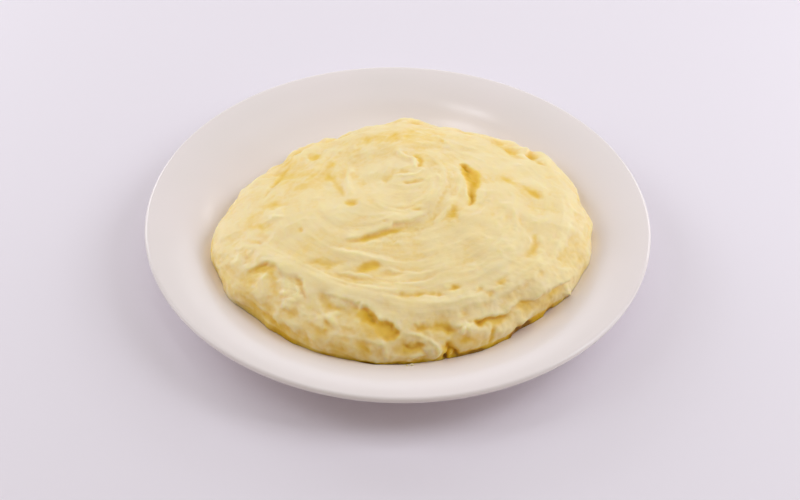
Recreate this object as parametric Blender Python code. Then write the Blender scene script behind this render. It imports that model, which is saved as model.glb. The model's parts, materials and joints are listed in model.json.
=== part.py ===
"""A side of mashed potato on its small round plate.

Metres, +Z up. The origin is on the table, at the centre of the plate's foot.
The potato is a low mound, spread with a spoon: a swirl near the crown, a rolled rim round it,
and torn lips on the flank that faces -Y. Its strokes are laid out on the mound by two numbers:
bearing, in degrees anticlockwise from +X, and reach, the share of the way along the surface
from the crown, 0, to the foot, 1.
"""

from math import atan2, cos, degrees, exp, pi, radians, sin, sqrt, tan

import bmesh
import bpy
import numpy as np
from mathutils import noise

MM = 0.001

# Plate
PLATE_RADIUS = 100.0 * MM
PLATE_HEIGHT = 19.2 * MM
LIP_RADIUS = 1.3 * MM            # half the thickness at the edge of the rim
BODY = 4.2 * MM                  # thickness of the floor and the wall
WELL_RADIUS = 52.0 * MM          # flat floor
WALL_SWEEP = 50.0 * MM           # radius of the upward curve outside the floor
RIM_SWEEP = 52.0 * MM            # radius of the curve that flattens into the rim
WALL_SLOPE = radians(30.0)
RIM_SLOPE = radians(6.0)
FOOT_OUTER = 57.0 * MM
FOOT_INNER = 53.4 * MM
FOOT_RECESS = 1.5 * MM           # height of the underside inside the foot ring
FOOT_ROUND = 0.5 * MM
PLATE_SECTORS = 80

# Potato
MOUND_X = 2.0 * MM               # the mound lies a little off the plate's centre
CROWN_Z = 30.5 * MM
FOOT_MEAN = 71.6 * MM            # mean radius where the mound meets the plate
FOOT_WAVES = ((1, 7.0 * MM, 269), (2, 3.6 * MM, 22), (3, 1.4 * MM, 350), (4, 0.9 * MM, 21))
SHOULDER_Z = 23.5 * MM           # mean height of the mound at SHOULDER_SHARE of its radius
SHOULDER_WAVES = ((1, 3.1 * MM, 306), (2, 0.9 * MM, 63), (3, 1.8 * MM, 332))
SHOULDER_SHARE = 0.8
FULLNESS = 3.2                   # exponent of the mound's section: 2 is an ellipse
FOOT_TUCK = 1.2 * MM             # how far the flank draws in just above the plate
FOOT_DENTS = ((226, 17, 4.0 * MM), (310, 13, 3.0 * MM))     # bearing, half width in degrees, depth
SPREAD = 83.0 * MM               # length along the surface from crown to foot
LUMP = 0.45 * MM                 # height of the uneven lumps
GAP = 0.4 * MM                   # clearance between potato and plate
MOUND_SECTORS = 90
MOUND_RINGS = 27
UNDER_RINGS = 4

# Spoon strokes: (half width, height, ((bearing, reach), ...)). A negative height is a hollow.
RIDGES = {
    "rolled_rim": (4.2 * MM, 1.7 * MM, (
        (199, 0.78), (210, 0.71), (225, 0.65), (242, 0.62), (257, 0.625), (272, 0.645),
        (287, 0.665), (303, 0.68), (320, 0.70), (337, 0.71), (354, 0.73), (370, 0.74))),
    "swirl_arc": (3.6 * MM, 1.5 * MM, (
        (237, 0.37), (254, 0.26), (278, 0.21), (310, 0.20), (340, 0.19), (380, 0.21),
        (406, 0.28), (421, 0.38), (432, 0.45))),
    "crown_curl": (2.8 * MM, 1.3 * MM, ((93, 0.38), (90, 0.31), (80, 0.26), (76, 0.19), (95, 0.14))),
    "gash_lip": (2.6 * MM, 1.2 * MM, ((45, 0.40), (33, 0.33), (17, 0.28), (358, 0.27), (342, 0.29))),
    "torn_lip": (3.0 * MM, 1.6 * MM, ((246, 0.67), (254, 0.695), (262, 0.75), (270, 0.80))),
    "side_lip": (2.6 * MM, 1.4 * MM, ((276, 0.84), (288, 0.85), (300, 0.84), (312, 0.86))),
    "foot_curl": (3.0 * MM, 1.4 * MM, ((266, 0.93), (272, 0.87), (280, 0.89), (281, 0.94))),
}
HOLLOWS = {
    "gash": (2.6 * MM, -3.0 * MM, ((43, 0.43), (31, 0.37), (18, 0.34), (2, 0.325), (344, 0.335))),
    "swirl_groove": (2.6 * MM, -2.0 * MM, ((239, 0.41), (248, 0.34), (262, 0.285), (280, 0.25))),
    "crown_dimple": (3.0 * MM, -1.6 * MM, ((190, 0.27), (196, 0.23))),
    "left_dimple": (3.6 * MM, -1.5 * MM, ((200, 0.64), (203, 0.60))),
    "far_left_dimple": (3.0 * MM, -1.2 * MM, ((180, 0.62), (185, 0.59))),
    "far_streak": (3.0 * MM, -1.2 * MM, ((136, 0.70), (145, 0.60), (150, 0.48), (163, 0.34))),
    "right_trough": (2.8 * MM, -1.3 * MM, ((20, 0.51), (12, 0.56), (3, 0.65))),
    "right_groove": (2.4 * MM, -1.2 * MM, ((338, 0.66), (326, 0.70))),
    "far_notch": (3.4 * MM, -1.8 * MM, ((44, 0.79), (35, 0.80))),
    "front_hollow": (3.2 * MM, -2.0 * MM, ((236, 0.54), (248, 0.505), (258, 0.50), (266, 0.53))),
    "under_torn_lip": (2.8 * MM, -3.0 * MM, ((250, 0.72), (257, 0.75), (264, 0.795), (269, 0.835))),
    "under_side_lip": (2.6 * MM, -2.2 * MM, ((279, 0.885), (287, 0.90), (296, 0.875), (305, 0.89))),
    "flank_cavity": (3.6 * MM, -2.2 * MM, ((214, 0.76), (222, 0.75), (232, 0.76))),
    "foot_notch": (2.6 * MM, -2.0 * MM, ((283, 0.95), (285, 0.90))),
    "right_foot_notch": (3.0 * MM, -2.0 * MM, ((308, 0.95), (319, 0.955))),
}
STROKE_STEPS = 12                # samples between two points of a stroke
PATH_FADE = 0.18                 # share of a stroke over which each end fades

PORCELAIN = ((0.86, 0.84, 0.82, 1.0), 0.12)
POTATO = ((0.90, 0.74, 0.40, 1.0), 0.50)


def clear_scene():
    """Remove every object that the file opened with."""
    for item in list(bpy.data.objects):
        bpy.data.objects.remove(item, do_unlink=True)


def make_material(name, colour, roughness):
    """A plain Principled material."""
    material = bpy.data.materials.new(name)
    material.use_nodes = True
    shader = material.node_tree.nodes["Principled BSDF"]
    shader.inputs["Base Color"].default_value = colour
    shader.inputs["Roughness"].default_value = roughness
    shader.inputs["Metallic"].default_value = 0.0
    return material


def add_object(name, shape, material):
    """Turn a bmesh into a smooth-shaded object of that name."""
    mesh = bpy.data.meshes.new(name)
    shape.to_mesh(mesh)
    shape.free()
    mesh.shade_smooth()
    mesh.set_sharp_from_angle(angle=radians(35.0))
    mesh.materials.append(material)
    item = bpy.data.objects.new(name, mesh)
    bpy.context.scene.collection.objects.link(item)
    return item


# Plate -------------------------------------------------------------------------------------

LIP_X = PLATE_RADIUS - LIP_RADIUS
LIP_Z = PLATE_HEIGHT - LIP_RADIUS
RIM_END_X = LIP_X - LIP_RADIUS * sin(RIM_SLOPE)
RIM_END_Z = LIP_Z + LIP_RADIUS * cos(RIM_SLOPE)
WALL_END_X = WELL_RADIUS + WALL_SWEEP * sin(WALL_SLOPE)
RIM_START_X = WALL_END_X + RIM_SWEEP * (sin(WALL_SLOPE) - sin(RIM_SLOPE))
WALL_RISE = WALL_SWEEP * (1.0 - cos(WALL_SLOPE))
RIM_RISE = RIM_SWEEP * (cos(RIM_SLOPE) - cos(WALL_SLOPE))
FLOOR_Z = RIM_END_Z - (RIM_END_X - RIM_START_X) * tan(RIM_SLOPE) - RIM_RISE - WALL_RISE


def plate_surface(radius):
    """Height and slope of the plate's upper face at a distance from its centre."""
    if radius <= WELL_RADIUS:
        return FLOOR_Z, 0.0
    if radius <= WALL_END_X:
        run = radius - WELL_RADIUS
        slope = atan2(run, sqrt(WALL_SWEEP ** 2 - run ** 2))
        return FLOOR_Z + WALL_SWEEP * (1.0 - cos(slope)), slope
    if radius <= RIM_START_X:
        run = WALL_END_X + RIM_SWEEP * sin(WALL_SLOPE) - radius
        slope = atan2(run, sqrt(RIM_SWEEP ** 2 - run ** 2))
        return FLOOR_Z + WALL_RISE + RIM_SWEEP * (cos(slope) - cos(WALL_SLOPE)), slope
    rise = (radius - RIM_START_X) * tan(RIM_SLOPE)
    return FLOOR_Z + WALL_RISE + RIM_RISE + rise, RIM_SLOPE


def plate_thickness(radius):
    """The rim thins from the top of the wall to its edge."""
    share = min(1.0, (RIM_END_X - radius) / (RIM_END_X - WALL_END_X))
    return 2 * LIP_RADIUS + (BODY - 2 * LIP_RADIUS) * share


def plate_profile():
    """Half section of the plate, from the centre of the floor round the lip to the underside."""
    stops = (WELL_RADIUS, 60 * MM, 66.5 * MM, 72 * MM, WALL_END_X, 84 * MM, 91 * MM, RIM_END_X)
    points = [(0.0, FLOOR_Z)]
    for radius in stops:
        points.append((radius, plate_surface(radius)[0]))
    lip_turns = 5
    for step in range(1, lip_turns):
        turn = pi / 2 + RIM_SLOPE - pi * step / lip_turns
        points.append((LIP_X + LIP_RADIUS * cos(turn), LIP_Z + LIP_RADIUS * sin(turn)))
    for radius in reversed(stops[1:]):
        height, slope = plate_surface(radius)
        thick = plate_thickness(radius)
        points.append((radius + thick * sin(slope), height - thick * cos(slope)))
    points.append((FOOT_OUTER, FOOT_ROUND))
    points.append((FOOT_OUTER - FOOT_ROUND, 0.0))
    points.append((FOOT_INNER + FOOT_ROUND, 0.0))
    points.append((FOOT_INNER, FOOT_ROUND))
    points.append((FOOT_INNER - FOOT_ROUND, FOOT_RECESS))
    points.append((0.0, FOOT_RECESS))
    return points


def make_plate():
    """Turn the half section once round the upright axis."""
    shape = bmesh.new()
    section = [shape.verts.new((x, 0.0, z)) for x, z in plate_profile()]
    edges = [shape.edges.new(pair) for pair in zip(section, section[1:])]
    bmesh.ops.spin(
        shape, geom=section + edges, cent=(0, 0, 0), axis=(0, 0, 1),
        angle=2 * pi, steps=PLATE_SECTORS, use_merge=True)
    bmesh.ops.remove_doubles(shape, verts=shape.verts, dist=0.01 * MM)
    bmesh.ops.recalc_face_normals(shape, faces=shape.faces)
    return add_object("plate", shape, make_material("porcelain", *PORCELAIN))


# Potato ------------------------------------------------------------------------------------

def waves(bearing, mean, terms):
    """A closed uneven outline: a mean and a few waves of (count, size, bearing of the crest)."""
    total = mean
    for count, size, crest in terms:
        total += size * cos(count * (bearing - radians(crest)))
    return total


def section_curve():
    """Width and height of the mound's quarter section, evenly spaced along its length."""
    turn = np.linspace(0.0, pi / 2, 600)
    width = np.sin(turn) ** (2 / FULLNESS)
    height = np.cos(turn) ** (2 / FULLNESS)
    steps = np.hypot(np.diff(width * FOOT_MEAN), np.diff(height * (SHOULDER_Z - FLOOR_Z)))
    length = np.concatenate(([0.0], np.cumsum(steps)))
    return length / length[-1], width, height


SECTION = section_curve()


def mound_point(bearing, reach):
    """A point of the smooth mound, before any stroke."""
    foot = waves(bearing, FOOT_MEAN, FOOT_WAVES)
    foot_z = plate_surface(sqrt((MOUND_X + foot * cos(bearing)) ** 2 + (foot * sin(bearing)) ** 2))[0]
    foot_z += GAP
    width = float(np.interp(reach, SECTION[0], SECTION[1]))
    height = float(np.interp(reach, SECTION[0], SECTION[2]))
    at_shoulder = (1.0 - SHOULDER_SHARE ** FULLNESS) ** (1 / FULLNESS)
    shoulder = (waves(bearing, SHOULDER_Z, SHOULDER_WAVES) - foot_z) / at_shoulder
    crown = CROWN_Z - foot_z
    radius = width * foot - FOOT_TUCK * max(0.0, 1.0 - height / 0.35) ** 2
    for middle, half_width, depth in FOOT_DENTS:
        off = (degrees(bearing) - middle + 180.0) % 360.0 - 180.0
        radius -= depth * exp(-(off / half_width) ** 2) * max(0.0, 1.0 - height) ** 0.6
    z = foot_z + (crown * (1.0 - width) + shoulder * width) * height
    return np.array((MOUND_X + radius * cos(bearing), radius * sin(bearing), z))


def mound_normal(bearing, reach):
    """Outward direction of the smooth mound."""
    step = 0.01
    here = max(reach, step)
    along = mound_point(bearing, min(here + step, 1.0)) - mound_point(bearing, here - step)
    across = mound_point(bearing + step, here) - mound_point(bearing - step, here)
    normal = np.cross(along, across)
    return normal / np.linalg.norm(normal)


def spread_out(bearing, reach):
    """Place on the mound's skin laid flat."""
    return np.array((reach * SPREAD * cos(bearing), reach * SPREAD * sin(bearing)))


def stroke_path(stops):
    """A smooth path through a stroke's points, on the skin laid flat."""
    flat = [spread_out(radians(bearing), reach) for bearing, reach in stops]
    padded = [2 * flat[0] - flat[1]] + flat + [2 * flat[-1] - flat[-2]]
    path = []
    for a, b, c, d in zip(padded, padded[1:], padded[2:], padded[3:]):
        for t in np.arange(STROKE_STEPS) / STROKE_STEPS:
            bend = (2 * a - 5 * b + 4 * c - d) * t * t + (3 * b - a - 3 * c + d) * t ** 3
            path.append(b + 0.5 * ((c - a) * t + bend))
    path.append(flat[-1])
    return np.array(path)


def stroke_height(place, stroke):
    """Rise or fall that one stroke gives at a place on the flat skin."""
    half_width, height, path = stroke
    gaps = np.hypot(path[:, 0] - place[0], path[:, 1] - place[1])
    nearest = int(np.argmin(gaps))
    share = nearest / (len(path) - 1)
    ends = min(1.0, (share + 0.08) / PATH_FADE, (1.08 - share) / PATH_FADE)
    return height * ends * float(np.exp(-(gaps[nearest] / half_width) ** 2))


def make_potato():
    """Top skin from crown to foot, then an underside that follows the plate."""
    strokes = [(w, h, stroke_path(stops)) for w, h, stops in (*RIDGES.values(), *HOLLOWS.values())]
    shape = bmesh.new()

    def relief(bearing, reach):
        place = spread_out(bearing, reach)
        rise = sum(stroke_height(place, stroke) for stroke in strokes)
        x, y = place / (9.0 * MM)
        rise += LUMP * noise.noise((x, y, 0.0))
        return rise * min(1.0, (1.0 - reach) / 0.06)

    def skin(bearing, reach):
        point = mound_point(bearing, reach) + mound_normal(bearing, reach) * relief(bearing, reach)
        return shape.verts.new(point)

    bearings = [2 * pi * k / MOUND_SECTORS for k in range(MOUND_SECTORS)]
    crown = shape.verts.new(mound_point(0.0, 0.0) + np.array((0, 0, relief(0.0, 0.0))))
    rings = []
    for ring in range(1, MOUND_RINGS + 1):
        rings.append([skin(bearing, ring / MOUND_RINGS) for bearing in bearings])
    foot = [vert.co.copy() for vert in rings[-1]]
    for ring in range(1, UNDER_RINGS + 1):
        share = 1.0 - ring / (UNDER_RINGS + 1)
        under = []
        for point in foot:
            x = MOUND_X + (point.x - MOUND_X) * share
            y = point.y * share
            under.append(shape.verts.new((x, y, plate_surface(sqrt(x * x + y * y))[0] + GAP)))
        rings.append(under)
    heel = shape.verts.new((MOUND_X, 0.0, FLOOR_Z + GAP))

    for upper, lower in zip(rings, rings[1:]):
        for k in range(MOUND_SECTORS):
            nxt = (k + 1) % MOUND_SECTORS
            shape.faces.new((upper[k], lower[k], lower[nxt], upper[nxt]))
    for k in range(MOUND_SECTORS):
        nxt = (k + 1) % MOUND_SECTORS
        shape.faces.new((crown, rings[0][k], rings[0][nxt]))
        shape.faces.new((heel, rings[-1][nxt], rings[-1][k]))
    bmesh.ops.triangulate(shape, faces=shape.faces)
    return add_object("mashed_potato", shape, make_material("potato", *POTATO))


def main():
    clear_scene()
    make_plate()
    make_potato()


main()
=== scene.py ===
# %% [markdown]
# # A side of mashed potato on its small round plate
#
# A white porcelain side plate, about 20 cm across, holds a low mound of mashed potato that was
# spread over its well with a spoon. The potato has a swirl near the crown, a rolled rim, a deep
# gash, and torn lips on the flank that faces -Y. Everything here is in metres, with +Z up, in the
# same frame as the CAD model. That is loaded first, and the finer pieces made below stand for its
# plain ones.

# %% Load the frame
import json
import math

import bpy
import numpy as np
from mathutils import Matrix, Vector, noise

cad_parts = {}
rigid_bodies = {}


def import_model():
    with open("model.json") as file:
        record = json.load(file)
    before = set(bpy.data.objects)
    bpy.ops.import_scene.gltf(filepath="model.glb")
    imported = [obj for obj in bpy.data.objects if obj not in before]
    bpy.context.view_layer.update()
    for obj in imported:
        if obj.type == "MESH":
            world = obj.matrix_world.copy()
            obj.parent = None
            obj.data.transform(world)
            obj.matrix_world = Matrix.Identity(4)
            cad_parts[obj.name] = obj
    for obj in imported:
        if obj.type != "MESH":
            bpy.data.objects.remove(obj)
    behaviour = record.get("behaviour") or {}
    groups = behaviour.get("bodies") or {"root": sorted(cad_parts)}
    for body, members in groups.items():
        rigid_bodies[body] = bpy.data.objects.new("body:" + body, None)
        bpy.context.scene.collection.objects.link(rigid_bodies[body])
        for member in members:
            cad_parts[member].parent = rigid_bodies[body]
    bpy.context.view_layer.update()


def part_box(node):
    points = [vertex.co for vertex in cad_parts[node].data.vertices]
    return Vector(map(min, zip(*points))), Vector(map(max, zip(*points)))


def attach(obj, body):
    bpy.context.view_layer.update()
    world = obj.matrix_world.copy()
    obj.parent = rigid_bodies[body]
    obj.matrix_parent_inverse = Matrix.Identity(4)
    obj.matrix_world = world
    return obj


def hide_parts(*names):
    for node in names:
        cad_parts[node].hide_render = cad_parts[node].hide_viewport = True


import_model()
MM = 0.001


plate_low, plate_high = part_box("plate")

# %% [markdown]
# ## The plate's section
#
# A side plate is pressed from a disc of clay over a turning mould, so one section says all of it: a
# flat well, a wall that curves up, a rim that flattens out, a rounded lip, and a foot ring
# underneath. It could be drawn by eye, but here it is worked out from a few radii and slopes, so
# that the body keeps an even thickness up to the top of the wall and thins smoothly from there to
# the lip. Its measures are in millimetres, as a potter would give them.

# %% Work out the section of the plate
PLATE_RADIUS = (plate_high.x - plate_low.x) / 2 / MM
PLATE_HEIGHT = round(plate_high.z / MM, 1)  # the lip's top, which the CAD's facets just miss
LIP = 1.3  # radius of the rounded lip
BODY = 4.2  # thickness of the floor and the wall
WELL = 52.0  # radius of the flat floor
WALL_SWEEP = 50.0  # radius of the upward curve outside the floor
RIM_SWEEP = 52.0  # radius of the curve that flattens into the rim
WALL_SLOPE = math.radians(30.0)
RIM_SLOPE = math.radians(6.0)
UNDER_END = 60.0  # where the underside meets the foot ring
FOOT_RING = [(58.0, 1.1), (57.0, 0.5), (56.6, 0.1), (56.2, 0.0), (54.2, 0.0), (53.8, 0.1),
             (53.4, 0.5), (53.0, 1.3), (52.4, 1.5), (0.0, 1.5)]     # radius, height
TOP_POINTS, LIP_POINTS, UNDER_POINTS = 34, 13, 20

lip_r, lip_z = PLATE_RADIUS - LIP, PLATE_HEIGHT - LIP
rim_end = lip_r - LIP * math.sin(RIM_SLOPE)
wall_end = WELL + WALL_SWEEP * math.sin(WALL_SLOPE)
sweep_end = wall_end + RIM_SWEEP * (math.sin(WALL_SLOPE) - math.sin(RIM_SLOPE))
FLOOR = (lip_z + LIP * math.cos(RIM_SLOPE) - (rim_end - sweep_end) * math.tan(RIM_SLOPE)
         - RIM_SWEEP * (math.cos(RIM_SLOPE) - math.cos(WALL_SLOPE))
         - WALL_SWEEP * (1 - math.cos(WALL_SLOPE)))


def plate_top(r):
    """Height of the plate's upper face at radius r, in mm."""
    r = np.asarray(r, float)
    on_wall = np.clip(r - WELL, 0, wall_end - WELL)
    on_sweep = wall_end + RIM_SWEEP * math.sin(WALL_SLOPE) - np.clip(r, wall_end, sweep_end)
    return (FLOOR + WALL_SWEEP - np.sqrt(WALL_SWEEP ** 2 - on_wall ** 2)
            + np.sqrt(RIM_SWEEP ** 2 - on_sweep ** 2) - RIM_SWEEP * math.cos(WALL_SLOPE)
            + np.clip(r - sweep_end, 0, None) * math.tan(RIM_SLOPE))


def plate_section():
    """(radius, height) from the middle of the upper face, over the lip, to the middle below."""
    points = [(0.0, FLOOR)] + [(r, float(plate_top(r))) for r in np.linspace(WELL, rim_end, TOP_POINTS)]
    for turn in np.linspace(math.pi / 2, -math.pi / 2, LIP_POINTS)[1:-1] + RIM_SLOPE:
        points.append((lip_r + LIP * math.cos(turn), lip_z + LIP * math.sin(turn)))
    for r in np.linspace(rim_end, UNDER_END, UNDER_POINTS):
        slope = math.atan(float(plate_top(r + 0.1) - plate_top(r - 0.1)) / 0.2)
        thick = 2 * LIP + (BODY - 2 * LIP) * min(1, (rim_end - r) / (rim_end - wall_end))
        points.append((r + thick * math.sin(slope), float(plate_top(r)) - thick * math.cos(slope)))
    return points + FOOT_RING


section = plate_section()
print("floor of the well, mm:", round(FLOOR, 2), "points in the section:", len(section))

# %% [markdown]
# ## Turning the plate
#
# The plate is modelled the way it is made. One point is drawn out into the section by extruding it
# again and again, and the section is spun once round the upright axis. Its first and last copies
# lie in the same place, so the doubles are merged before the normals are recalculated.

# %% Turn the plate
PLATE_STEPS = 224
MERGE = 0.002 * MM  # points closer than this become one
PLATE_EDGE = math.radians(40)  # a sharper turn than this is shaded as an edge


def deselect_all():
    """Operators act on all that is selected, so each piece starts from nothing selected."""
    bpy.ops.object.select_all(action="DESELECT")


def edit_all():
    """Edit mode, with the whole mesh selected."""
    bpy.ops.object.mode_set(mode="EDIT")
    bpy.ops.mesh.select_all(action="SELECT")


def finish_piece(piece, name):
    """Merged, closed and outward facing, with its origin at the world's."""
    edit_all()
    bpy.ops.mesh.remove_doubles(threshold=MERGE)
    bpy.ops.mesh.normals_make_consistent(inside=False)
    bpy.ops.object.mode_set(mode="OBJECT")
    bpy.ops.object.transform_apply(location=True, rotation=True, scale=True)
    piece.name = piece.data.name = name
    return piece


def turn_plate():
    deselect_all()
    bpy.ops.mesh.primitive_plane_add(size=1 * MM, location=(0, 0, section[0][1] * MM))
    piece = bpy.context.object
    edit_all()
    bpy.ops.mesh.merge(type="CENTER")
    for (r0, z0), (r1, z1) in zip(section, section[1:]):
        bpy.ops.mesh.extrude_region_move(
            TRANSFORM_OT_translate={"value": ((r1 - r0) * MM, 0, (z1 - z0) * MM)})
    bpy.ops.mesh.select_all(action="SELECT")
    bpy.ops.mesh.spin(steps=PLATE_STEPS, angle=math.tau, center=(0, 0, 0), axis=(0, 0, 1))
    finish_piece(piece, "side_plate")
    bpy.ops.object.shade_smooth_by_angle(angle=PLATE_EDGE)
    return piece


plate = turn_plate()
print("plate faces:", len(plate.data.polygons))

# %% [markdown]
# ## The mound under the strokes
#
# Before any detail, the potato is a low mound with an uneven outline. Its section is a
# superellipse, flat on top and steep at the flank, and its foot and shoulder go up and down slowly
# round the compass. A place on it is named by x and y, in millimetres along the skin from the
# crown, as if the skin were peeled off and laid flat. Strokes are laid out on that flat sheet, so
# they keep their width when they run over the shoulder and down the flank.

# %% Shape the mound
MOUND_X = 2.0  # the crown's place right of the plate's middle
CROWN = 30.5  # its height above the table
SKIN = 83.0  # from the crown to the foot, along the skin
FULLNESS = 3.2  # the superellipse's power
FOOT_TUCK = 0.15  # how far the flank draws in above the plate
FOOT_SPREAD = 0.6  # how far the wet edge runs out on the plate
FOOT_GAP = 0.06  # the gap between the potato and the plate
FOOT = (71.6, (1, 7.0, 269), (2, 3.6, 22), (3, 1.4, 350), (4, 0.9, 21))
SHOULDER = (23.5, (1, 3.1, 306), (2, 0.9, 63), (3, 1.8, 332))
SHOULDER_SHARE = 0.8
DENTS = ((226, 17, 3.6), (310, 13, 1.8))  # where the flank draws in: bearing, half width, depth


def waves(bearing, mean, *terms):
    """mean plus slow waves round the compass: (times round, height, bearing of a peak)."""
    return mean + sum(a * np.cos(k * (bearing - math.radians(peak))) for k, a, peak in terms)


def mound_section():
    """(share of the way along the skin, share of the radius, share of the height)"""
    turn = np.linspace(0, np.pi / 2, 800)
    out, up = np.sin(turn) ** (2 / FULLNESS), np.cos(turn) ** (2 / FULLNESS)
    steps = np.hypot(np.diff(out) * FOOT[0], np.diff(up) * (SHOULDER[0] - FLOOR))
    along = np.concatenate([[0], np.cumsum(steps)])
    return along / along[-1], out, up


ALONG, OUT, UP = mound_section()


def on_mound(x, y):
    """The point of the bare mound, in mm, at the place x, y on its skin."""
    bearing, reach = np.arctan2(y, x), np.clip(np.hypot(x, y) / SKIN, 0, 1)
    foot = waves(bearing, *FOOT)
    foot_z = plate_top(np.hypot(MOUND_X + foot * np.cos(bearing), foot * np.sin(bearing))) + FOOT_GAP
    out, up = np.interp(reach, ALONG, OUT), np.interp(reach, ALONG, UP)
    shoulder = (waves(bearing, *SHOULDER) - foot_z) / (1 - SHOULDER_SHARE ** FULLNESS) ** (1 / FULLNESS)
    radius = out * foot - FOOT_TUCK * np.clip(1 - up / 0.25, 0, None) ** 2
    for at, half, depth in DENTS:
        off = (np.degrees(bearing) - at + 180) % 360 - 180
        radius = radius - depth * np.exp(-(off / half) ** 2) * np.clip(1 - up, 0, 1) ** 0.4
    height = foot_z + ((CROWN - foot_z) * (1 - out) + shoulder * out) * up
    return np.stack([MOUND_X + radius * np.cos(bearing), radius * np.sin(bearing), height], -1)


def mound_normal(x, y, step=0.4):
    inside = np.minimum(1, (SKIN - 1.5 * step) / np.maximum(np.hypot(x, y), 1e-6))
    x, y = x * inside, y * inside
    normal = np.cross(on_mound(x + step, y) - on_mound(x - step, y),
                      on_mound(x, y + step) - on_mound(x, y - step))
    return normal / np.linalg.norm(normal, axis=-1, keepdims=True)


print("crown, mm:", on_mound(0.0, 0.0).round(1), "front foot, mm:", on_mound(0.0, -SKIN).round(1))

# %% [markdown]
# ## A sheet to work the strokes on
#
# The strokes could be pushed into the mesh one by one, but there are hundreds, and they cross.
# Instead the flat skin gets fine grids of numbers, like contour maps. Each stroke adds to them or
# takes from them, and only the sum is put on the mesh. They say how high, how golden and how rough
# the skin is, where the gold is mostly painted shade and its negative a painted highlight, how far
# it leans sideways at the overhanging torn edges, and which way the spoon went.

# %% Lay out the sheet
CELL = 0.25
HALF = 86.0
COUNT = int(2 * HALF / CELL) + 1
axis = np.linspace(-HALF, HALF, COUNT)
SHEET_X, SHEET_Y = np.meshgrid(axis, axis)
REACH = np.hypot(SHEET_X, SHEET_Y) / SKIN
BEARING = np.arctan2(SHEET_Y, SHEET_X)
height, gold_and_painted_light, lean_x, lean_y, rough, went_x, went_y = (np.zeros((COUNT, COUNT)) for _ in range(7))
chance = np.random.default_rng(7)
wobbles = iter(range(1, 100000))


def ease(t):
    """0 to 1 with soft ends."""
    t = np.clip(t, 0, 1)
    return t * t * (3 - 2 * t)


def sector(bearing, low, width):
    """1 round about a bearing and 0 away from it. low and width are in its cosine."""
    return ease((np.cos(BEARING - math.radians(bearing)) - low) / width)


def soften(sheet, spread):
    """A Gaussian blur of a sheet, with its spread in mm."""
    row, col = np.fft.fftfreq(COUNT, CELL), np.fft.rfftfreq(COUNT, CELL)
    keep = np.exp(-2 * (np.pi * spread) ** 2 * (col[None] ** 2 + row[:, None] ** 2))
    return np.fft.irfft2(np.fft.rfft2(sheet) * keep, s=sheet.shape)


def even_out(sheet):
    return (sheet - sheet.mean()) / sheet.std()


def blobs(spread):
    """Seeded random lumps and hollows of one size, with a mean of 0 and a spread of 1."""
    return even_out(soften(chance.standard_normal((COUNT, COUNT)), spread))


def look_up(sheet, x, y):
    """A sheet's value at any place on the skin."""
    col, row = (np.clip((v + HALF) / CELL, 0, COUNT - 1.001) for v in (x, y))
    i, j = col.astype(int), row.astype(int)
    u, v = col - i, row - j
    return ((sheet[j, i] * (1 - u) + sheet[j, i + 1] * u) * (1 - v)
            + (sheet[j + 1, i] * (1 - u) + sheet[j + 1, i + 1] * u) * v)


print("sheet:", COUNT, "by", COUNT, "cells of", CELL, "mm")

# %% [markdown]
# ## The strokes themselves
#
# A spoon leaves four kinds of mark. A furrow is a hollow with low banks. A lip is a fold pushed up
# by the spoon's edge: it rises gently on one side and drops steeply on the other, where it may lean
# out and tear. A ridge is much the same on both sides. A dimple is a small pit or, with a negative
# depth, a small lump. The first three follow a smooth curve through a few places, written x,y, x,y
# and so on. They fade at their ends and waver a little, because no hand is steady.

# %% Make the four kinds of mark
PATH_STEP = 0.5


def smooth_path(places):
    """A Catmull-Rom curve through the places, with a point every half millimetre or so."""
    p = list(np.reshape(places, (-1, 2)).astype(float))
    p = [2 * p[0] - p[1]] + p + [2 * p[-1] - p[-2]]
    pieces = []
    for a, b, c, d in zip(p, p[1:], p[2:], p[3:]):
        steps = max(2, int(np.linalg.norm(c - b) / PATH_STEP))
        t = (np.arange(steps) / steps)[:, None]
        pieces.append(b + 0.5 * ((c - a) * t + (2 * a - 5 * b + 4 * c - d) * t * t
                                 + (3 * b - a - 3 * c + d) * t ** 3))
    return np.concatenate(pieces + [p[-2][None]])


def window(low, high):
    """The part of the sheet from one corner to another."""
    i, j = np.clip(((low + HALF) / CELL).astype(int), 0, COUNT - 1)
    end_i, end_j = np.clip(((high + HALF) / CELL).astype(int), 1, COUNT)
    return slice(j, end_j), slice(i, end_i)


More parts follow.
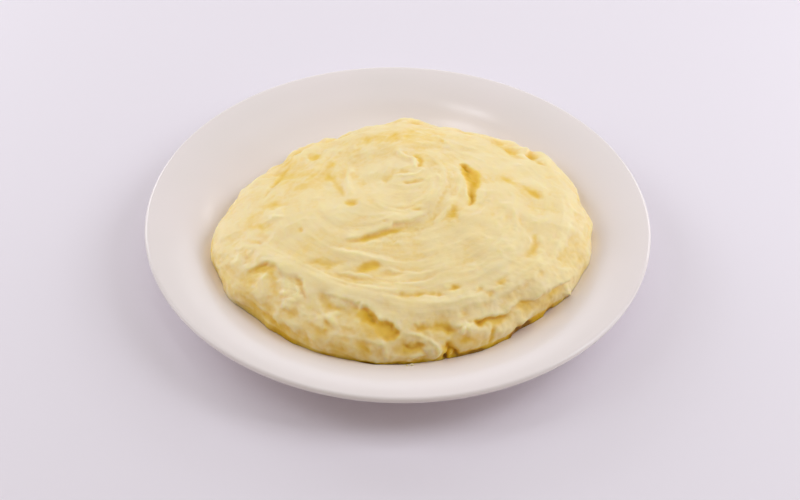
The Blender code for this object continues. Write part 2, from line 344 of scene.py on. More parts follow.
class Stroke:
    """Where each cell near a path lies: how far along it, and how far to its left. fade is the
    share of the path that it fades over, or one share for each end."""

    def __init__(self, places, margin, fade):
        path = smooth_path(places)
        self.part = window(path.min(0) - margin, path.max(0) + margin + CELL)
        x, y = SHEET_X[self.part], SHEET_Y[self.part]
        nearest, self.at = np.full(x.shape, np.inf), np.zeros(x.shape, int)
        for i, (px, py) in enumerate(path):
            gap = (x - px) ** 2 + (y - py) ** 2
            closer = gap < nearest
            nearest[closer], self.at[closer] = gap[closer], i
        ahead = np.gradient(path, axis=0)
        ahead /= np.linalg.norm(ahead, axis=1, keepdims=True) + 1e-9
        self.ahead_x, self.ahead_y = ahead[self.at].transpose(2, 0, 1)
        from_x, from_y = x - path[self.at][..., 0], y - path[self.at][..., 1]
        self.left = self.ahead_x * from_y - self.ahead_y * from_x
        past = self.ahead_x * from_x + self.ahead_y * from_y
        self.count = len(path)
        share = self.at / (self.count - 1)
        off_end = ((share == 0) & (past < 0)) | ((share == 1) & (past > 0))
        self.left = np.where(off_end, np.copysign(np.sqrt(nearest), self.left), self.left)
        fade_in, fade_out = np.broadcast_to(fade, 2)
        self.strength = ease(share / fade_in) * ease((1 - share) / fade_out)

    def waver(self, length, amount):
        """Slow seeded changes along the path, about 0."""
        lane = next(wobbles)
        return np.array([2 * amount * noise.noise(Vector((i * PATH_STEP / length, lane * 7.3, 0.5)))
                         for i in range(self.count)])[self.at]

    def note_way(self, width):
        """The drag lines of the spoon follow its strokes."""
        weight = self.strength * np.exp(-(self.left / width) ** 2)
        went_x[self.part] += weight * self.ahead_x
        went_y[self.part] += weight * self.ahead_y

    def note_rough(self, amount, how_near):
        rough[self.part] = np.maximum(rough[self.part], amount * self.strength * how_near)


def furrow(places, width, depth, shade_gold=0.4, fade=0.2, widths=(1, 1), waver_by=0.2, bank=0.06,
           torn=0, flat=1.9, opening=None):
    """With an opening, it slopes out that much wider on its right."""
    s = Stroke(places, width * (3 * (opening or 1)) + 2, fade)
    shares = np.linspace(0, 1, s.count), np.linspace(0, 1, len(widths))
    half = width * (1 + s.waver(3.0, waver_by)) * np.interp(*shares, widths)[s.at]
    deep = depth * (1 + s.waver(4.0, waver_by * 0.8))
    half = half * (0.35 + 0.65 * s.strength)
    if opening:
        shape = np.where(s.left < 0, np.exp(-(-s.left / (opening * half)) ** 1.5),
                         np.exp(-np.abs(s.left / half) ** 3))
    else:
        shape = np.exp(-(np.abs(s.left) / half) ** flat)
    height[s.part] -= deep * s.strength * shape
    # The gold in a furrow is painted shade.
    gold_and_painted_light[s.part] += shade_gold * s.strength * shape
    height[s.part] += bank * depth * s.strength * np.exp(
        -((np.abs(s.left) - 1.5 * half) / (0.7 * half)) ** 2)
    if torn:
        s.note_rough(torn, np.exp(-(s.left / (1.3 * half)) ** 2))
    s.note_way(2.5 * width)


def lip(places, rise, gentle, steep, drop="right", lean=0.0, fade=0.2, waver_by=0.25, ragged=0.0,
        torn=0.0, bow=1.5, shade_gold=0.0, pale_highlight=0.0):
    """rise is its height; gentle and steep are how far it slopes away on its two sides."""
    side = 1 if drop == "left" else -1
    s = Stroke(places, max(gentle, steep) * 2 + 2, fade)
    strength = s.strength * (1 + s.waver(5.0, waver_by))
    past = side * s.left
    if ragged:
        teeth = s.waver(3.2, 0.75 * ragged) + s.waver(1.3, 0.3 * ragged)
        past = past - teeth * np.where(past < 0, ease(1 + past / (0.3 * gentle)), 1)
    slope = np.where(past < 0, np.clip(1 + past / gentle, 0, 1) ** bow, 1 - ease(past / steep))
    height[s.part] += rise * strength * slope
    if lean:
        edge = np.where(past < 0, np.clip(1 + 2 * past / gentle, 0, 1) ** 2,
                        1 - ease(past / (1.6 * steep)))
        lean_x[s.part] -= lean * strength * edge * s.ahead_y * side
        lean_y[s.part] += lean * strength * edge * s.ahead_x * side
    if torn:
        s.note_rough(torn, np.exp(-((past - steep) / (1.5 * steep)) ** 2))
    # The gold below the steep side is painted shade, and the pale band on the crest a painted highlight.
    gold_and_painted_light[s.part] += strength * (shade_gold * np.exp(-((past - 1.2 * steep) / (1.1 * steep)) ** 2)
                                  - pale_highlight * np.exp(-((past + 0.3) / 0.9) ** 2))
    s.note_way(gentle)


def ridge(places, rise, width, **more):
    lip(places, rise, width, width, drop="left", bow=1.6, **more)


def dimple(x, y, long, short, turn, depth, shade_gold=0.0, torn=0.0, bank=0.04):
    """A pit with its long and short half sizes, its long side turned from +X, in degrees."""
    margin = 3 * max(long, short)
    part = window(np.array([x - margin, y - margin]), np.array([x + margin, y + margin]))
    c, s = math.cos(math.radians(turn)), math.sin(math.radians(turn))
    from_x, from_y = SHEET_X[part] - x, SHEET_Y[part] - y
    u, v = (from_x * c + from_y * s) / long, (-from_x * s + from_y * c) / short
    lane, round_it = next(wobbles), np.arctan2(v, u)
    uneven = 1 + 0.22 * np.cos(3 * round_it + lane) + 0.12 * np.cos(5 * round_it + 2 * lane)
    out = np.hypot(u, v) / uneven
    height[part] -= depth * np.exp(-out ** 1.9)
    height[part] += bank * depth * np.exp(-((out - 1.5) / 0.5) ** 2)
    # The gold in a pit is painted shade; a negative gold, on a lump, is a painted highlight.
    gold_and_painted_light[part] += shade_gold * np.exp(-out ** 2)
    if torn:
        rough[part] = np.maximum(rough[part], torn * np.exp(-out ** 2))


def dimples(*pits):
    for pit in pits:
        dimple(*pit)


def tell_relief():
    print("relief so far, mm:", round(height.min(), 2), "to", round(height.max(), 2))


print("marks: furrow, lip, ridge, dimple")

# %% [markdown]
# ## The rolled rim and the swirl
#
# The last turn of the spoon rolled the potato up into a broad soft rim, well inside the foot.
# Inside it the spoon was turned round near the crown, which left an arc with a wedge-shaped furrow
# in front of it, a fan of thinner arcs on the right, and a small curl on top.

# %% Roll the rim and turn the swirl
lip([-63,-22, -57,-25.5, -50,-30.5, -43,-37, -36,-42, -28,-47, -18,-51.5, -8,-55, 2,-57, 12,-57.5, 22,-56,
    32,-53, 41,-48, 49,-41, 55,-32, 59,-22, 61,-11, 61.5,1, 60,12], .9, 7, 7, bow=1.2, fade=(.06, .12),
    waver_by=.15)
lip([-23.5,-43.5, -19,-43.5, -14,-44.8, -10.5,-47.4, -5.5,-49.2, 0,-49.8, 6.5,-49.2, 12,-47.2, 17,-44], .6,
    5, 1.1, fade=(.1, .3), waver_by=.3, shade_gold=.2, drop="left")
lip([-36,-38, -29.5,-42.5, -23.5,-46, -16,-49.5, -8,-52, 0,-53, 8,-53], .4, 5, 1.2, fade=(.1, .3),
    waver_by=.3, shade_gold=.15, drop="left")
lip([-22,-27, -18.2,-25.3, -12.5,-23, -6.7,-20.4, -2.3,-17.6, 3.6,-15.4, 8,-13, 12.3,-9.5], .9, 4.5, 1,
    lean=.5, fade=(.08, .3), ragged=.4, torn=.25, pale_highlight=.3)
furrow([-21.3,-28.8, -18.1,-27.8, -14,-25.8, -8.6,-23.6, -4.7,-22.4, -.6,-21.2, 3.7,-19, 7,-17.5], 1.35, .7,
    .6, (.15, .5), widths=(1.1, 1.4, 1, .7, .4))
ridge([-16,-20, -8,-17, 2,-14, 9,-9, 13,-2, 16,8, 17,18, 15.5,28, 11,37], .8, 6, fade=(.15, .2))
for points, rise, gentle in (
        ([12.7,-21.7, 14,-17.5, 16.1,-12.4, 16.9,-6.8, 17.2,0, 17,8, 17.2,15.7, 15,26], .34, 2.2),
        ([13.6,-21.2, 14.9,-16.3, 19,-8.1, 21,.4, 22.3,8.5, 22.6,16.2, 20,27], .38, 2.4),
        ([10.5,-18.7, 11,-13.1, 12.2,-8.6, 14,-2, 14.6,6, 14,14, 12,22], .3, 2),
        ([6,-10, 9.5,-4, 11.5,3, 11.5,10, 10,17], .26, 2),
        ([16,-15, 18.6,-5, 19.2,4, 19.6,13, 18,22], .22, 1.4),
        ([-6,-10, 2,-9, 8,-5.5, 11,0], .25, 3),
        ([-12,-3, -8,-9, -2,-12, 4,-11.6, 9,-8], .28, 3)):
    lip(points, rise, gentle, 1, ragged=.3, fade=(.25, .3), shade_gold=.15)
ridge([-3,34, -2.5,30, .5,26.5, 4,25, 5,21, 4,17], .9, 2, fade=(.15, .1))
furrow([3.5,29, 7,26, 7,20.5, 6,17], 1.2, .6, .5)
ridge([-3.5,14, -1,11.8, 3.5,11.4, 7.5,14, 9.5,18.5], .55, 1.6)
furrow([-1.5,6.5, 2,6, 6.5,7, 9.5,10], 1.1, .45, .4)
furrow([-8.5,5.5, -8,9, -6,13.5, -5,19], 1.6, .28, .2)
ridge([-11,4, -10,11, -8,18, -7,25], .4, 2.4)
furrow([3.4,-11, 5.3,-11.8, 7.3,-11], .7, .45, .8, .3)
furrow([-8,-17.6, -6.6,-17.9, -5.3,-17.8], .5, .35, .4, .3)
dimples((0,14.6, 2.2,1.2, -10, .4, .6), (19.4,-14.5, 2.2,5.4, -10, .5, .5, .55),
        (11.5,-16.5, 1.5,3.2, -25, .3, .4, .3), (-3,-27, 9,3, 18, -.2, .1, .35),
        (-19,-18.5, 3.4,2.4, 20, .2, .2))
tell_relief()

# %% [markdown]
# ## The gash and the hollows
#
# Right of the swirl the spoon's edge cut in and was pulled out, which left a gash with a sharp left
# lip. In front of the swirl two shallow hollows lie under a fold, and small pits follow the rim.
# The gash, the hollows and the pits are painted a deeper yellow, as painted shade.

# %% Cut the gash and press the hollows
lip([25.6,28, 25,21, 24,14.5, 23.2,9.5, 23.8,5.5, 23.9,1, 24.2,-4, 25.2,-9.5], .35, 6, 1.2, ragged=.2,
    pale_highlight=.1, drop="left")
furrow([26.2,25, 27,17.5, 27.1,11, 27,5.5, 26.3,1.5, 26,-4, 26.1,-9.5], 2.4, 1.2, 2.2, (.08, .1),
    widths=(.15, .6, 1.2, 1, .6, .35, .15), waver_by=.06, bank=0, flat=2.4)
ridge([30.5,3, 30,-2.5, 28.5,-7], .35, 2)
ridge([-27,-31.5, -19,-34.5, -12,-36.5, -5,-38, 0,-40.5], .8, 3.4, fade=(.25, .3))
furrow([-18.5,-41, -14,-41, -10.5,-40.6, -6.5,-40.2], 2.1, .7, 1, (.5, .3))
furrow([-11,-43, -7,-44.2, -3,-44.3, 3,-43.6], 1.6, .4, .35, .4)
lip([-7,-39, -3.5,-42, .7,-43.6, 6.4,-44, 11.4,-43.6, 14.5,-41.4], .3, 2.5, .9, drop="left", fade=.2,
    shade_gold=.15)
dimples((-26,-39, 3.8,2, -12, .5, .4), (-32,-37.5, 2,1.5, 0, .3, .3))
furrow([-24,-43, -19.5,-45, -15.5,-46, -13,-47, -6,-49, 0,-50, 8,-50], .8, .35, .25, (.1, .3))
furrow([-8,-54.5, 0,-54.8, 8,-54.7, 16,-54.7], .7, .3, .25, .2)
for x, y, long, short, turn, depth in ((-.1,-54, 1.5,.7, 0, .5), (6.5,-54, 1.6,.7, 0, .5),
        (11,-54, 1.2,.7, 0, .5), (14,-54.5, 1.4,.8, 10, .6), (19.6,-51.5, 1.7,1, 25, .8),
        (28.8,-52.3, 1.9,.9, 25, .6), (32.6,-53.5, 2.6,1, 8, .6), (38,-48.8, 2.6,1.8, 35, .6)):
    dimple(x, y, long, short, turn, depth, torn=.3, shade_gold=1.3*depth)
tell_relief()

# %% [markdown]
# ## Torn lips on the front flank
#
# Where the rim was pushed outwards over the flank it tore, and the torn edges hang over little
# caves, painted golden as shade: one at the left shoulder with a grainy patch under it, a jagged
# one at the front, and a long thin one that runs along the right. Folds and curls of the potato
# that slid down lie at the foot.

# %% Tear the front flank
lip([-59,-38.5, -55.5,-37.5, -52,-35.8, -48.4,-35.5, -44.6,-37, -42.2,-40, -40.4,-42.8, -37,-43.6,
    -34.4,-46, -33,-50, -32,-55, -32.8,-60], .65, 6.5, 1.8, lean=.3, ragged=.4, fade=(.15, .25), torn=.3,
    pale_highlight=.15)
furrow([-57,-41, -54,-39.8, -51,-38.3, -48,-38, -45.4,-39.5, -43.6,-42], 1.7, .75, .3, (.4, .3),
    widths=(.7, 1, 1.1, 1), bank=0, opening=5)
dimples((-47.7,-39.2, 2.6,1, 0, .1, .5), (-55.6,-42.6, 4.8,2.4, 75, .4, .25),
        (-46,-45.6, 4.6,2.4, 90, .2, .12), (-49.6,-45.4, 4.6,2.2, 85, -.4, -.1),
        (-50.6,-51.5, 4,3, 60, -.6))
furrow([-44.7,-42, -44.9,-46, -44.8,-50, -44,-54.5], 1.5, .2, .1)
furrow([-42.2,-44.8, -40,-45, -37.3,-46, -35.6,-48.6, -34.7,-52, -34,-56], 1.2, .45, .2, (.3, .4),
    widths=(.7, 1.1, .8, 1.1, .8), bank=0, opening=3.4, torn=.5)
dimples((-39.7,-50.4, 3.4,4.6, 5, -.7, -.2, 1), (-36.6,-53.6, 2,2.4, 0, -.7, -.2),
        (-39.3,-56.4, 2.5,2.2, 0, -.8, -.2, .6), (-45.4,-60.6, 2,2.2, 0, -.7, -.2))
furrow([-43,-57.5, -39.5,-59.6, -35.5,-58.6], 1.4, .35, .25)
furrow([-56.5,-24.5, -52.5,-25, -49,-27.5], 1.3, .4, .4, .4)
dimples((-55,-29.5, 3.2,2.2, -20, .25, .1, .4), (-58.5,-33.5, 2.4,3.2, 30, -.6, -.2, .3))

# The jagged lip at the front, and what slid down under it.
ridge([-32.6,-46.5, -30.6,-52, -29.4,-57, -27.5,-61, -23,-64.5, -17,-67.5], .4, 3.4, fade=(.3, .35))
furrow([-28.6,-50, -27.2,-54, -26.4,-58, -24,-60.5], 2, .22, .12)
dimple(-22.2,-55.6, 3,2, -15, -.5, -.1)
furrow([-25.4,-54.6, -24.4,-57.4, -21.8,-58.7, -19.2,-58.6], 1.4, .3, .3)
lip([-30,-50.5, -26.5,-52, -22.5,-53.4, -19.5,-54.9, -17.1,-56.1, -14.3,-58, -11.4,-59.2, -8.9,-62.4,
    -6.6,-63.6, -4.4,-63.4, -2.2,-64.8, -.9,-67.7, 0,-71], 1, 6, 1, lean=.35, ragged=.9, fade=(.3, .06),
    bow=1.3, torn=.35, pale_highlight=.55)
furrow([-20.5,-57.2, -17,-58.8, -14.3,-60.6, -11.4,-61.6, -9,-64.6, -6.4,-65.9, -3.8,-66.8, -2.4,-68.8,
    -1,-71], 1.4, .85, 1.7, (.55, .06), widths=(.6, .8, 1.1, 1.1, 1, 1.2, 1.3, 1), bank=0, opening=2.5)
for x, y, turn in ((-14.2, -59.2, 70), (-7.4, -64.3, 60), (-1.4, -67.6, 80)):
    dimple(x, y, 1.5, .9, turn, -.8, torn=.3, shade_gold=-1.2)
lip([-28,-60, -22,-63.5, -17,-66.2, -10.5,-69, -4,-71.5], .5, 4, 2, shade_gold=.2)
lip([-36,-60.5, -28,-65.5, -20,-69.5, -12,-72, -5,-73.5], .45, 4.5, 2, shade_gold=.25)
lip([-48,-57, -41,-63, -33,-68, -24,-72, -16,-74.5], .4, 4.5, 2, shade_gold=.25)
lip([-60,-45, -55,-52, -49,-59, -41,-66], .35, 4, 2, shade_gold=.2)
furrow([-28,-61.5, -26.8,-63.3, -25.4,-65.2], .7, .5, .5)
dimple(-24.2,-63, 1.7,2.4, 60, -.6, -.2)
for x, y, long, short, turn, rise in ((-9,-73.4, 3.4,2.2, 10, .9), (-5,-77, 2.4,3.4, 20, .9),
        (-10.5,-77.4, 1.6,2.8, 10, .6), (-17.7,-74.1, 2.2,3.2, 25, .6), (-23.5,-69.8, 3,2, 30, .55),
        (-29.4,-62.9, 2,3, 20, .5), (-34.1,-60.2, 1.8,2.4, 0, .55), (-38.4,-65, 2,3, 35, .6),
        (-31.5,-70.5, 1.8,3.2, 25, .5), (-51.7,-62.8, 1.8,2.8, 45, .5), (-51.8,-56.8, 2.6,2, 20, .5),
        (-61,-51, 2,2.6, 40, .5)):
    dimple(x, y, long, short, turn, -rise, torn=.15, shade_gold=-.25)
furrow([-13,-75, -11.5,-75.8, -10,-77], .8, .6, .6)

# The long lip on the right.
furrow([1.5,-66.5, 5,-67, 11,-67.6, 16,-68, 19.5,-68.6], 1.5, .7, .35, (.35, .1),
    widths=(.6, .8, .9, 1.1, 1.3))
dimples((18,-69, 2.6,1.7, -20, .8, .5), (23.6,-66.9, 2.8,1.8, -15, -1.5, -.4, .8))
ridge([22.6,-66.5, 23,-68.5, 23.6,-70.3], 1.2, .9, fade=(.1, .3))
dimple(25,-71.3, 2.8,1.5, -5, .6, .6)
lip([14,-65.5, 21,-65.2, 27.3,-63.6, 32,-61.8, 37,-60.2, 38.9,-59.5, 43,-56.2, 46.8,-53.8, 51.2,-51,
    56.4,-46, 61.7,-40.4, 67,-36, 71.6,-32.5], .9, 8, 1.3, lean=.5, ragged=.35, fade=(.15, .12), pale_highlight=.15)
furrow([26.6,-64.8, 29.5,-64.2, 32.1,-63.2, 37.1,-61.8, 40.7,-60.6, 43,-58.6], 1, 1.3, 1.2, (.12, .4),
    bank=0, opening=2.6)
furrow([43.1,-57.6, 48.9,-54.4, 54.8,-50.4, 60,-45.6, 65.5,-41.5], 1.4, .35, .25, bank=0, opening=2.6)
dimples((31.5,-67.6, 3.6,2.2, 5, -1, -.2), (40.4,-66.6, 4.2,2.4, 18, -.9, -.2),
        (51.3,-60.2, 3.6,1.8, 32, -1.2, -.3))
furrow([35.5,-66, 36.5,-69, 36,-73], 1.2, .7, .6)
dimple(67.5,-42.6, 1.9,1.4, 30, -1.2, -.5, .6)

# The curl at the foot, and the notches beside it.
ridge([-2.5,-72.5, -.3,-71, 2.7,-70.5, 6,-70.6, 9.6,-72.2, 12.9,-73.8, 14.6,-76.4, 13.4,-79.4, 10.4,-80.8,
    5.2,-81.6], 1.05, 1.9, fade=(.15, .4), ragged=.5, waver_by=.5)
for x, y, long, short, turn, rise in ((2.2,-72.3, 2.4,1.3, -10, .6), (8.2,-73.2, 1.8,1.2, -30, .7),
        (12.4,-77.2, 1.3,1.9, 10, .6), (5.5,-79.4, 2,1.1, 5, .5)):
    dimple(x, y, long, short, turn, -rise, torn=.5, shade_gold=-.3)
furrow([-1,-74.2, 3.3,-74.8, 6.7,-75, 9.2,-75.9], 1.4, .8, .5)
dimple(10.6,-76.6, 1.9,2.4, 20, -.9, -.6, .5)
ridge([-4,-78, 1,-79, 6,-78.6, 10,-78.6], 1, 1.8)
furrow([16.2,-72.6, 18.8,-74.8, 20.6,-76.8, 23.5,-79], 1.4, 1.8, 1.5)
dimple(18.4,-79.2, 1,2.2, 0, 1.8, 3)
furrow([46,-70, 49.5,-67, 53,-64, 57.4,-60], 1.2, 1, 2.2, .3)
furrow([61.5,-56, 64.5,-53, 68.5,-49.5], 1.5, 1.4, 2.8, .3)
tell_relief()

# %% [markdown]
# ## The right, the back and the left
#
# Round the rest of the mound the marks are fewer: a narrow furrow and broad soft bands on the
# right, a notch at the back right, dabs at the back, and on the left a slit, a thin crease and a
# row of shallow dimples where the spoon was lifted. Last come broad patches of gold or pallor with
# no depth, where the pallor on the front rim is painted light, and the swells of the outline.

# %% Mark the right, the back and the left
for points, rise, width in (
        ([2,-61.5, 14,-62, 26,-59, 37,-54, 46,-47, 54,-38, 59,-27.5, 61.5,-15], .45, 2.6),
        ([-4,-58.8, 8,-59, 20,-57.6, 32,-53.4, 42,-47, 50,-38.4, 55,-28, 57.5,-16], .4, 2.2),
        ([6,-51.5, 17,-50, 27,-46.5, 37,-40.5, 44,-33, 48.5,-24], .4, 3),
        ([16,-47, 27,-43, 36,-36.5, 42,-28, 45,-18], .32, 2.6),
        ([62,14, 64,2, 64,-10, 61.5,-22, 57,-33], .4, 2.6),
        ([50,20, 54,8, 55,-5, 53,-17], .3, 3)):
    ridge(points, rise, width, fade=.25)
furrow([51,-19.5, 50.5,-24, 50.5,-28, 49.5,-31, 46.5,-36], 1.6, .36, .35, widths=(.5, 1, 1, .8, .4))
ridge([53.4,-20, 53.4,-28, 51.4,-33.5, 46.8,-38.5], .45, 2)
lip([41.5,-3, 42,-9, 44,-16.5, 47.5,-23.5, 49.5,-28], .35, 3.5, 2, drop="left")
ridge([39,-22, 36.5,-29, 32.5,-34.5], .3, 2.4)
furrow([38.5,16, 42,12, 45,9, 49,6, 52,4, 55.5,1], 2.6, .28, .42, waver_by=.3)
dimple(51,4.5, 2.4,1.8, -35, .2, .2)

# The back right and the back.
furrow([46.5,46, 47,41, 48.5,37, 50.5,33.5, 53.5,32], 1.9, .6, .45, torn=.3)
furrow([60,48, 58,45, 56,41.5, 55,37, 55,34], 1.5, .6, .45, torn=.3)
dimples((53,41, 2.8,6.5, -18, -.9), (57,30.5, 1.7,2.2, 0, .4, .35))
furrow([-18,51.5, -18.5,44, -18,36.5], 2.4, .22, .28, .4)
furrow([-5,52, -6,43, -7,35], 2.2, .22, .25, .4)
furrow([4.5,57, 5,49.5], 1.8, .15, .25, .4)
dimple(18,43.5, 1.6,3, 0, .25, .35)
ridge([12,49.5, 16,48, 19,44, 20,39.5], .5, 2)
dimple(-23,35, 4,5, 20, .4, .3)

# The left.
furrow([-24,-4.6, -20.8,-6.3, -18.2,-6.8, -15.6,-7.2], 1.8, .6, 1, (.5, .3))
furrow([-19.6,12, -18.8,7, -18.2,2], 1.8, .22, .3, .4)
ridge([-28.5,27, -26,21, -25,14, -23.5,5.5, -21.5,.5, -20.5,-3], .55, 2.4, fade=(.25, .1))
furrow([-35,18, -31.5,12, -28,6.5, -24.5,.5, -22.5,-4], 1.2, .3, .35)
furrow([-34.5,30, -33,25, -32,21], 2.2, .25, .35, .4)
furrow([-42.5,40, -42,34, -41.5,29], 2.6, .3, .5, .4)
ridge([-47.5,39.5, -46,35, -44.5,30.5], .5, 1.8)
dimple(-53,39, 1.2,1.8, 10, .2, .25)
furrow([-53.5,34.5, -55,26.5, -55.5,19.5, -56.5,11, -57,2], 1.3, .3, .35)
dimples((-50.5,-3, 3.4,2.2, 0, .35, .4), (-49,-9, 3.2,2, -20, -.8, -.3), (-51,-17.5, 4.4,2.5, -20, .45, .4),
        (-48.5,-12.6, 3,1.6, -25, -1, -.3))
furrow([-38,-19, -36,-21.5, -35,-22.5], .9, .45, .5, .3)

# Broad patches of gold or pallor, the pallor on the front rim painted light, and the swells of the outline.
dimples((-52,30, 9,22, 25, 0, .35), (33,14, 8,8, 0, 0, .25), (-2,45, 30,12, 0, 0, .32),
        (54,22, 12,14, 0, 0, -.15), (-58,-8, 8,14, 0, 0, .18), (-38,14, 10,12, 0, 0, .3),
        (2,-47, 14,6, 0, 0, -.2), (-20,-12, 10,6, 20, 0, -.2), (38,-30, 12,9, 50, 0, -.22),
        (24,-56, 22,6, 15, 0, -.22))
for x, y, long, short, turn, depth in ((-33,63.5, 12,7, 155, 1.7), (3.5,68, 8,7, 0, -1.3),
        (19,66.5, 9,6, -15, .8), (51,50.5, 4,5, -45, -1), (61.5,39, 9,6, -57, -1.5), (76,12, 6,9, 80, 1.5)):
    dimple(x, y, long, short, turn, depth, bank=0, shade_gold=0)
tell_relief()

# %% [markdown]
# ## Which way the spoon went
#
# Between the big marks lie many faint ones, and all of them follow the spoon: round and round,
# anticlockwise, about the swirl near the crown and about the whole mound near the rim, and slanting
# down the front left flank, where the potato was pushed over the edge. This field of directions
# steers the small strokes and the drag lines below.

# %% Find the way of the spoon everywhere
SWIRL_Y = 14.0  # the swirl's own middle lies behind the crown
SLIDE_BEARING = 243  # the middle of the flank that slid down
SLIDE_X, SLIDE_Y = 0.75, -0.66
LIE_SHARE = 0.35  # how much the lie of the whole bends a stroke's own way


def unit(x, y):
    size = np.hypot(x, y) + 1e-6
    return x / size, y / size


def lie_of_strokes():
    to_rim = ease((REACH - 0.15) / 0.45)
    x, y = unit(-(SHEET_Y - SWIRL_Y * (1 - to_rim)), SHEET_X - (1 - to_rim))
    slide = ease((REACH - 0.70) / 0.08) * sector(SLIDE_BEARING, 0.80, 0.12)
    return unit(x * (1 - slide) + SLIDE_X * slide, y * (1 - slide) + SLIDE_Y * slide)


def settle_way():
    """The strokes' own directions, blended into the lie of the whole, with no jumps."""
    lie_x, lie_y = lie_of_strokes()
    same = np.sign(went_x * lie_x + went_y * lie_y)
    x, y = unit(went_x * same + LIE_SHARE * lie_x, went_y * same + LIE_SHARE * lie_y)
    turn = np.arctan2(soften(2 * x * y, 1.6), soften(x * x - y * y, 1.6)) / 2
    x, y = np.cos(turn), np.sin(turn)
    forward = np.where(x * lie_x + y * lie_y < 0, -1, 1)
    return x * forward, y * forward


way_x, way_y = settle_way()


def nearest_cell(x, y):
    return tuple(np.clip(((v + HALF) / CELL + 0.5).astype(int), 0, COUNT - 1) for v in (y, x))


def drag(sheet, length, step=0.5):
    """Smears a sheet along the way of the spoon, by length each way."""
    total, count = sheet.copy(), 1
    for sense in (1, -1):
        x, y = SHEET_X.copy(), SHEET_Y.copy()
        cell = nearest_cell(x, y)
        for _ in range(int(length / step)):
            x += sense * step * way_x[cell]
            y += sense * step * way_y[cell]
            cell = nearest_cell(x, y)
            total += sheet[cell]
            count += 1
    return total / math.sqrt(count)


print("way of the spoon in front of the crown:",
      [round(way[COUNT // 4, COUNT // 2], 2) for way in (way_x, way_y)])

# %% [markdown]
# ## Everyday strokes, folds and grain
#
# The small marks are too many to place one by one, so they come from a seeded random draw. First
# come short low lips along the way of the spoon, then thin overlapping folds: the contour lines of
# a smeared noise, each with a soft and a sharp side, look like layers of potato. Last come lumps,
# soft bits that the masher missed, fine drag lines, and grain where the potato is torn. The gold,
# mostly painted shade, is softened and broken up in the same way. More of it is painted as shade
# down the flank and toward the foot, most on the left front, and along the front foot it deepens to
# painted contact shade where the potato is also wet.

# %% Add the small marks
SMALL_LIPS = 110
SOFT_BITS = 260
GRAIN = ((0.12, 0.35), (0.14, 0.7))  # the height of some noise, and the size of its lumps
LUMPS = ((0.36, 5.5), (0.17, 2.6), (0.035, 1.2))
FLANK_LUMPS = ((0.26, 3.2), (0.07, 1.5), (0.04, 0.7))
BACK_LUMPS = ((0.45, 2.2),)
FOLD_HEIGHT = 0.21
MOST_GOLD = 1.7
# Painted shade: gold down the flank and toward the foot, more on the left front; and painted contact shade
# along the front foot, where the potato is also wet.
FLANK_SHADE_GOLD, LEFT_FOOT_SHADE_GOLD, WET_CONTACT_SHADE_GOLD = 0.08, 0.20, 2.6


def layers(sizes):
    return sum(tall * blobs(spread) for tall, spread in sizes)


def any_place(low, high):
    """A seeded place on the skin, and how far out it lies."""
    reach, bearing = math.sqrt(chance.uniform(low, high)), chance.uniform(0, math.tau)
    return SKIN * reach * math.cos(bearing), SKIN * reach * math.sin(bearing), reach


def small_lips():
    for _ in range(SMALL_LIPS):
        x, y, _ = any_place(0.03, 0.93)
        long, askew = chance.uniform(3, 11), chance.normal(0, 0.16)
        rise, gentle = chance.uniform(0.06, 0.20), chance.uniform(1.8, 4.5)
        places = [(x, y)]
        for sense in (1, -1):
            px, py = x, y
            for _ in range(2):
                wx, wy = look_up(way_x, px, py), look_up(way_y, px, py)
                turn = askew + 0.02 * long * sense * askew
                px += sense * long / 2 * (wx * math.cos(turn) - wy * math.sin(turn))
                py += sense * long / 2 * (wx * math.sin(turn) + wy * math.cos(turn))
                places.insert(len(places) if sense > 0 else 0, (px, py))
        lip(places, rise, gentle, chance.uniform(0.9, 2.0), drop=("left", "right")[chance.integers(2)],
            fade=.35, ragged=chance.uniform(0, .5))


def overlapping_folds():
    smeared = even_out(drag(blobs(2.4), 9) + 0.4 * drag(blobs(1.2), 5))
    layer = 1.1 * smeared + 40
    share = layer - np.floor(layer)
    fold = np.where(share < 0.82, share / 0.82, 1 - ease((share - 0.82) / 0.18)) - 0.5
    return fold * np.clip(0.45 + 0.5 * blobs(7.0), 0.0, 1.3)


def unsettle():
    """Shifts all that was drawn so far a little this way and that, so that no edge stays clean."""
    shift_x, shift_y = ((0.20 + 0.16 * flank) * blobs(1.6) + (0.14 + 0.08 * flank) * blobs(0.7)
                        for _ in range(2))
    for sheet in (height, gold_and_painted_light, lean_x, lean_y, rough):
        sheet[:] = look_up(sheet, SHEET_X + shift_x, SHEET_Y + shift_y)


flank = ease((REACH - 0.70) / 0.10)
back = ease((np.sin(BEARING) - 0.1) / 0.5)
small_lips()
unsettle()
grain = layers(GRAIN)
torn_grain = np.clip(soften(rough, 0.5), 0, 1)
lumps = layers(LUMPS)
flank_lumps = layers(FLANK_LUMPS)
drag_lines = 0.025 * even_out(drag(blobs(0.35), 6)) + 0.05 * even_out(drag(blobs(0.8), 9))
height = soften(height, 0.22)
height += (lumps + flank * (flank_lumps + back * layers(BACK_LUMPS))
           + FOLD_HEIGHT * soften(overlapping_folds(), 0.55))
height += drag_lines * (1 - 0.6 * torn_grain) + grain * (torn_grain + 0.06 + 0.15 * flank)
for _ in range(SOFT_BITS):
    x, y, reach = any_place(0.02, 0.95)
    size = chance.uniform(0.6, 1.6)
    dimple(x, y, size * 1.3, size, chance.uniform(0, 180),
           -chance.uniform(0.08, 0.30) * (0.6 + 0.6 * reach), bank=0)
gold_and_painted_light = soften(gold_and_painted_light, 0.8) * np.clip(1 + 0.25 * even_out(drag(blobs(0.8), 3)), 0.5, 1.3)
